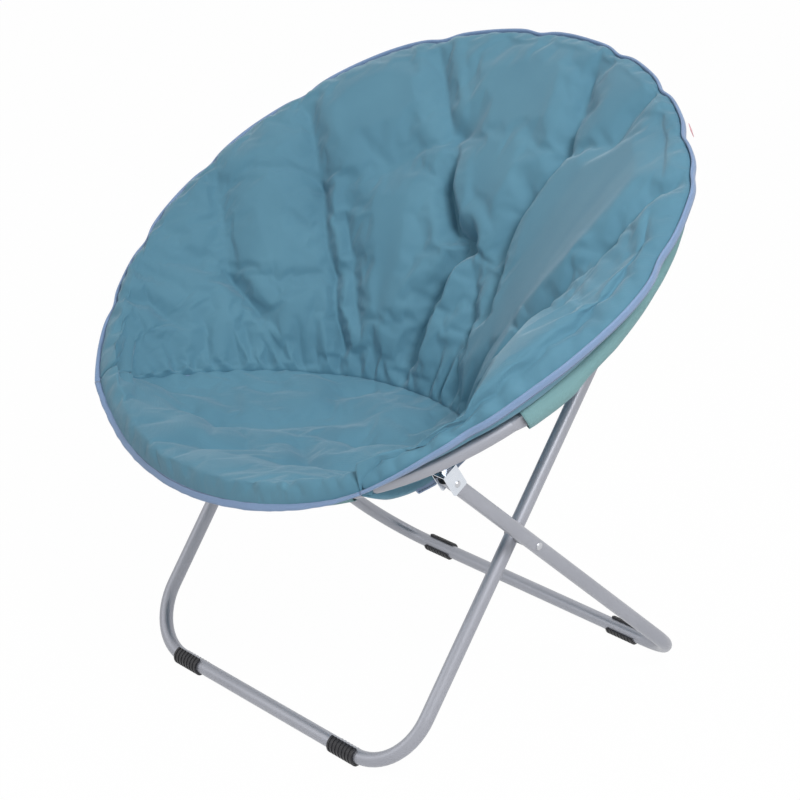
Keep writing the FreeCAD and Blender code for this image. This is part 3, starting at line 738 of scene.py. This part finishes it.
def tape_cloth(name, light, dark, length):
    """Woven tape with a row of dark stitching along it, by the tape's own UV."""
    material, tree, shader = plain_material(name, light, 0.6)
    spot = add_node(tree, "ShaderNodeUVMap", uv_map="cloth")
    split = tree.nodes.new("ShaderNodeSeparateXYZ")
    tree.links.new(spot.outputs["UV"], split.inputs[0])
    mottle = add_mottle(tree, 30.0, 1500.0)
    cloth = two_tone(tree, ranged(tree, mottle.outputs["Grain"], 0.3, 0.7, 0.0, 1.0), dark, light)
    fold = add_node(tree, "ShaderNodeMath", operation="PINGPONG")
    fold.inputs[1].default_value = 0.5
    tree.links.new(split.outputs["Y"], fold.inputs[0])
    row = add_node(tree, "ShaderNodeMath", operation="COMPARE")
    tree.links.new(fold.outputs[0], row.inputs[0])
    row.inputs[1].default_value = 0.335
    row.inputs[2].default_value = 0.022
    dash = add_node(tree, "ShaderNodeMath", operation="MULTIPLY")
    tree.links.new(split.outputs["X"], dash.inputs[0])
    dash.inputs[1].default_value = length / 0.0034
    beat = add_node(tree, "ShaderNodeMath", operation="FRACT")
    tree.links.new(dash.outputs[0], beat.inputs[0])
    stitch = add_node(tree, "ShaderNodeMath", operation="LESS_THAN")
    tree.links.new(beat.outputs[0], stitch.inputs[0])
    stitch.inputs[1].default_value = 0.78
    mark = add_node(tree, "ShaderNodeMath", operation="MULTIPLY")
    tree.links.new(row.outputs[0], mark.inputs[0])
    tree.links.new(stitch.outputs[0], mark.inputs[1])
    mixed = add_node(tree, "ShaderNodeMix", data_type="RGBA")
    tree.links.new(mark.outputs[0], mixed.inputs[0])
    tree.links.new(cloth, mixed.inputs[6])
    mixed.inputs[7].default_value = (0.03, 0.06, 0.13, 1.0)
    tree.links.new(mixed.outputs[2], shader.inputs["Base Color"])
    shader.inputs["Sheen Weight"].default_value = 0.25
    height = add_node(tree, "ShaderNodeMath", operation="MULTIPLY_ADD")
    tree.links.new(mark.outputs[0], height.inputs[0])
    height.inputs[1].default_value = -0.8
    tree.links.new(mottle.outputs["Grain"], height.inputs[2])
    raised(tree, shader, height.outputs[0], 0.00035, 0.8)
    return material


BACK_TAPE = tape_cloth("slate blue tape, back", (0.235, 0.345, 0.545), (0.165, 0.262, 0.44), 2.03)
SEAT_TAPE = tape_cloth("slate blue tape, front", (0.235, 0.345, 0.545), (0.165, 0.262, 0.44), 0.56)
back_edge = bound_edge("back_edge_tape", -51.3, 231.3, 420, BACK_TAPE)
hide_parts("back_piping")
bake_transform(back_edge)
front_edge = bound_edge("front_edge_tape", 231.3, 308.7, 130, SEAT_TAPE)
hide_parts("front_piping")
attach(front_edge, "ring_front")


# Crease tape: the same slate-blue tape folded over the two panels' raw edges,
# sewn along the crease and seen from below and behind.
def crease_tape(count, material):
    """A flattened, slightly wavy strip hanging along the crease."""
    mesh = bmesh.new()
    uv_map = mesh.loops.layers.uv.new("cloth")
    bmesh.ops.create_grid(mesh, x_segments=count, y_segments=16, size=0.5, calc_uvs=True)
    a = np.linspace(-0.86, 0.86, count + 1)
    middle = beside_crease(a, 0.0, 17.0)
    across = beside_crease(a, 1.0, 17.0) - middle
    rng = np.random.default_rng(8)
    wave = np.interp(np.linspace(0, 1, count + 1), np.linspace(0, 1, 70), rng.uniform(-1.2, 1.2, 70))
    for vert in mesh.verts:
        i = int(round((vert.co.x + 0.5) * count))
        turn = (vert.co.y + 0.5) * 2 * math.pi
        up = 10.0 * math.copysign(abs(math.cos(turn)) ** 0.8, math.cos(turn))
        out = 2.2 * math.sin(turn) + wave[i] * (1 - up / 10.0) / 2
        vert.co = from_ring(middle[i] + across[i] * out + np.array((0, 0, up)))
    bmesh.ops.remove_doubles(mesh, verts=mesh.verts, dist=0.00005)
    holes = [edge for edge in mesh.edges if edge.is_boundary]
    bmesh.ops.holes_fill(mesh, edges=holes, sides=0)
    bmesh.ops.recalc_face_normals(mesh, faces=mesh.faces)
    data = bpy.data.meshes.new("crease_tape")
    mesh.to_mesh(data)
    mesh.free()
    for polygon in data.polygons:
        polygon.use_smooth = True
    data.materials.append(material)
    piece = bpy.data.objects.new("crease_tape", data)
    bpy.context.scene.collection.objects.link(piece)
    return piece


crease_strip = crease_tape(300, SEAT_TAPE)
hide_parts("crease_binding")
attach(crease_strip, "ring_front")


# Sleeves: a hem of the same cloth stitched round the tube, one round the back
# and sides, one across the front; the tube shows bare between their open ends.
SLEEVE_CLOTH = brushed_cloth("sage teal hem cloth", (0.215, 0.385, 0.400), (0.150, 0.290, 0.305), 0.0012, 0.2)


def hem_sleeve(name, first, last, count, seed, looseness):
    """A cloth tube round the ring between two angles, slightly slack and creased."""
    rng = np.random.default_rng(seed)
    mesh = bmesh.new()
    uv_map = mesh.loops.layers.uv.new("cloth")
    bmesh.ops.create_grid(mesh, x_segments=count, y_segments=28, size=0.5, calc_uvs=True)
    angles = np.linspace(first, last, count + 1)
    slack = np.interp(np.linspace(0, 1, count + 1), np.linspace(0, 1, 90), rng.uniform(0.0, looseness, 90))
    hinge = np.exp(-(((angles + 17.3) / 7.0) ** 4)) + np.exp(-(((angles - 197.3) / 7.0) ** 4))
    for vert in mesh.verts:
        i = int(round((vert.co.x + 0.5) * count))
        turn = (vert.co.y + 0.5) * 2 * math.pi
        size = 11.4 + slack[i] * (0.6 + 0.4 * math.cos(turn - 1.2)) + 5.6 * hinge[i]
        size += 0.5 * math.sin(3 * turn + i * 0.11)
        vert.co = from_ring(radial(angles[i], RING_RADIUS + size * math.cos(turn), size * math.sin(turn)))
    bmesh.ops.remove_doubles(mesh, verts=mesh.verts, dist=0.00005)
    bmesh.ops.recalc_face_normals(mesh, faces=mesh.faces)
    bmesh.ops.solidify(mesh, geom=mesh.verts[:] + mesh.edges[:] + mesh.faces[:], thickness=0.0008)
    data = bpy.data.meshes.new(name)
    mesh.to_mesh(data)
    mesh.free()
    for polygon in data.polygons:
        polygon.use_smooth = True
    data.materials.append(SLEEVE_CLOTH)
    piece = bpy.data.objects.new(name, data)
    bpy.context.scene.collection.objects.link(piece)
    return piece


back_hem = hem_sleeve("back_hem_sleeve", -22.0, 202.0, 460, 31, 1.3)
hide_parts("back_sleeve")
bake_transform(back_hem)
front_hem = hem_sleeve("front_hem_sleeve", -126.0, -54.0, 150, 32, 0.3)
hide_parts("front_sleeve")
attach(front_hem, "ring_front")

# Side tag: a small blank tape loop sewn in beside the bound edge, faded pink.
TAG_TAPE, tag_tree, tag_shader = plain_material("faded pink tape", (0.76, 0.38, 0.44), 0.7)
tag_mottle = add_mottle(tag_tree, 120.0, 2600.0)
tag_tree.links.new(
    two_tone(tag_tree, tag_mottle.outputs["Grain"], (0.66, 0.29, 0.35), (0.84, 0.46, 0.50)),
    tag_shader.inputs["Base Color"],
)
raised(tag_tree, tag_shader, tag_mottle.outputs["Grain"], 0.0001, 0.8)
dress("side_tag", TAG_TAPE)

# Studio: a pale floor that keeps the chair's shadow, soft light from above and
# the left, and the camera where the photograph was taken.
floor_mesh = bmesh.new()
bmesh.ops.create_grid(floor_mesh, x_segments=1, y_segments=1, size=30.0)
floor_data = bpy.data.meshes.new("studio floor")
floor_mesh.to_mesh(floor_data)
floor_mesh.free()
floor = bpy.data.objects.new("studio_floor", floor_data)
floor.location = (0, 0, -0.0005)
bpy.context.scene.collection.objects.link(floor)
FLOOR_PAINT, floor_tree, floor_shader = plain_material("pale floor", (0.93, 0.93, 0.93), 0.9)
seen = floor_tree.nodes.new("ShaderNodeLightPath")
white = add_node(floor_tree, "ShaderNodeEmission", Color=(1, 1, 1, 1), Strength=1.0)
direct = add_node(floor_tree, "ShaderNodeMath", operation="MAXIMUM")
floor_tree.links.new(seen.outputs["Is Glossy Ray"], direct.inputs[0])
floor_tree.links.new(seen.outputs["Is Camera Ray"], direct.inputs[1])
part = add_node(floor_tree, "ShaderNodeMath", operation="MULTIPLY")
floor_tree.links.new(direct.outputs[0], part.inputs[0])
part.inputs[1].default_value = 0.985
blend_floor = floor_tree.nodes.new("ShaderNodeMixShader")
floor_tree.links.new(part.outputs[0], blend_floor.inputs[0])
floor_tree.links.new(floor_shader.outputs[0], blend_floor.inputs[1])
floor_tree.links.new(white.outputs[0], blend_floor.inputs[2])
floor_tree.links.new(blend_floor.outputs[0], floor_tree.nodes["Material Output"].inputs["Surface"])
floor_data.materials.append(FLOOR_PAINT)

world = bpy.data.worlds.new("studio")
bpy.context.scene.world = world
world.use_nodes = True
sky = world.node_tree.nodes["Background"]
sky.inputs["Color"].default_value = (1.0, 1.0, 1.0, 1.0)
rays = world.node_tree.nodes.new("ShaderNodeLightPath")
clear = add_node(world.node_tree, "ShaderNodeMath", operation="MAXIMUM")
world.node_tree.links.new(rays.outputs["Is Camera Ray"], clear.inputs[0])
world.node_tree.links.new(rays.outputs["Is Glossy Ray"], clear.inputs[1])
level = add_node(world.node_tree, "ShaderNodeMapRange")
world.node_tree.links.new(clear.outputs[0], level.inputs["Value"])
level.inputs["To Min"].default_value = 0.32
level.inputs["To Max"].default_value = 1.0
world.node_tree.links.new(level.outputs["Result"], sky.inputs["Strength"])


def soft_lamp(name, place, size, power):
    """A square studio lamp that looks at the chair's middle."""
    lamp = bpy.data.lights.new(name, "AREA")
    lamp.size = size
    lamp.energy = power
    holder = bpy.data.objects.new(name, lamp)
    bpy.context.scene.collection.objects.link(holder)
    holder.location = place
    toward = Vector((0, 0, 0.45)) - Vector(place)
    holder.rotation_euler = toward.to_track_quat("-Z", "Y").to_euler()


soft_lamp("key", (2.1, -0.7, 2.3), 0.8, 54.0)
soft_lamp("fill", (-1.4, -2.2, 1.7), 2.0, 9.0)
soft_lamp("top", (0.0, 0.5, 3.0), 1.2, 9.0)

view = bpy.data.cameras.new("photo view")
view.sensor_width = 36.0
view.lens = 96.084
camera = bpy.data.objects.new("photo_view", view)
bpy.context.scene.collection.objects.link(camera)
right = Vector((0.668086, 0.743842, -0.018971))
up = Vector((-0.262481, 0.259452, 0.929402))
back = Vector((0.696251, -0.615941, 0.368580))
turn = Matrix((right, up, back)).transposed().to_4x4()
camera.matrix_world = Matrix.Translation((1.96407, -1.72684 + 0.004, 1.41171)) @ turn
bpy.context.scene.camera = camera
bpy.context.scene.view_settings.view_transform = "Standard"
